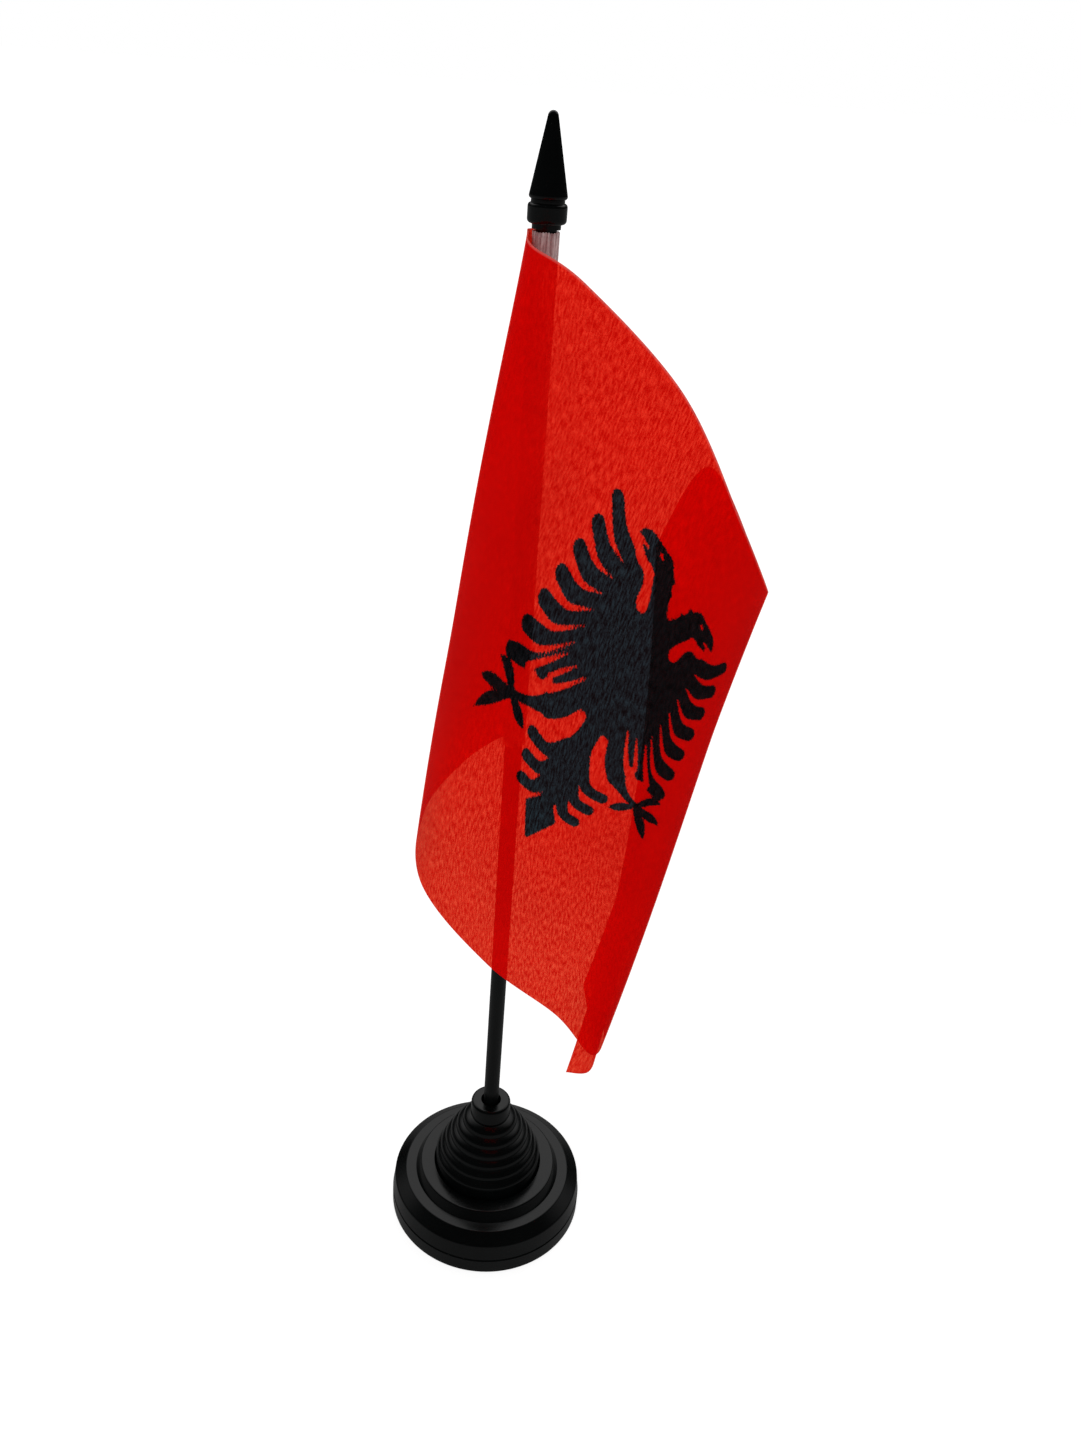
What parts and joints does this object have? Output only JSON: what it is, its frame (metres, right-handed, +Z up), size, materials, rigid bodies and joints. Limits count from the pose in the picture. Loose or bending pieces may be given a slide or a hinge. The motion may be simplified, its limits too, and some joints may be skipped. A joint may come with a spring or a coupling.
{
  "type": "desk flag stand",
  "caption": "Small cloth flag with a curled drape on a slim black pole with a cone finial, standing in the socket of a round stepped base.",
  "frame": {"origin": "Middle of the flat face that the base rests on.", "axes": "+Z runs up the pole, -Y is the side towards which the flag curls and from which its front is seen, +X is to the right seen from there."},
  "size_m": [0.0659, 0.0761, 0.2556],
  "materials": {
    "black_plastic": "satin",
    "finial_plastic": "gloss",
    "flag_fabric": "matte",
    "sleeve_fabric": "matte",
    "thread": "satin"
  },
  "bodies": {
    "base": {"base": "black_plastic"},
    "pole": {"pole": "black_plastic"},
    "finial": {"finial": "finial_plastic"},
    "flag": {"flag_cloth": "flag_fabric", "flag_sleeve": "sleeve_fabric", "seam_stitching": "thread"}
  },
  "joints": [
    {"name": "pole_lift", "type": "slide", "parent": "base", "child": "pole", "axis": [0, 0, 1], "range_m": [0, 0.026]},
    {"name": "flag_turn", "type": "hinge", "parent": "pole", "child": "flag", "pos_m": [0, 0, 0.1873], "axis": [0, 0, 1], "continuous": true},
    {"name": "finial_pull", "type": "slide", "parent": "pole", "child": "finial", "axis": [0, 0, 1], "range_m": [0, 0.008]}
  ]
}
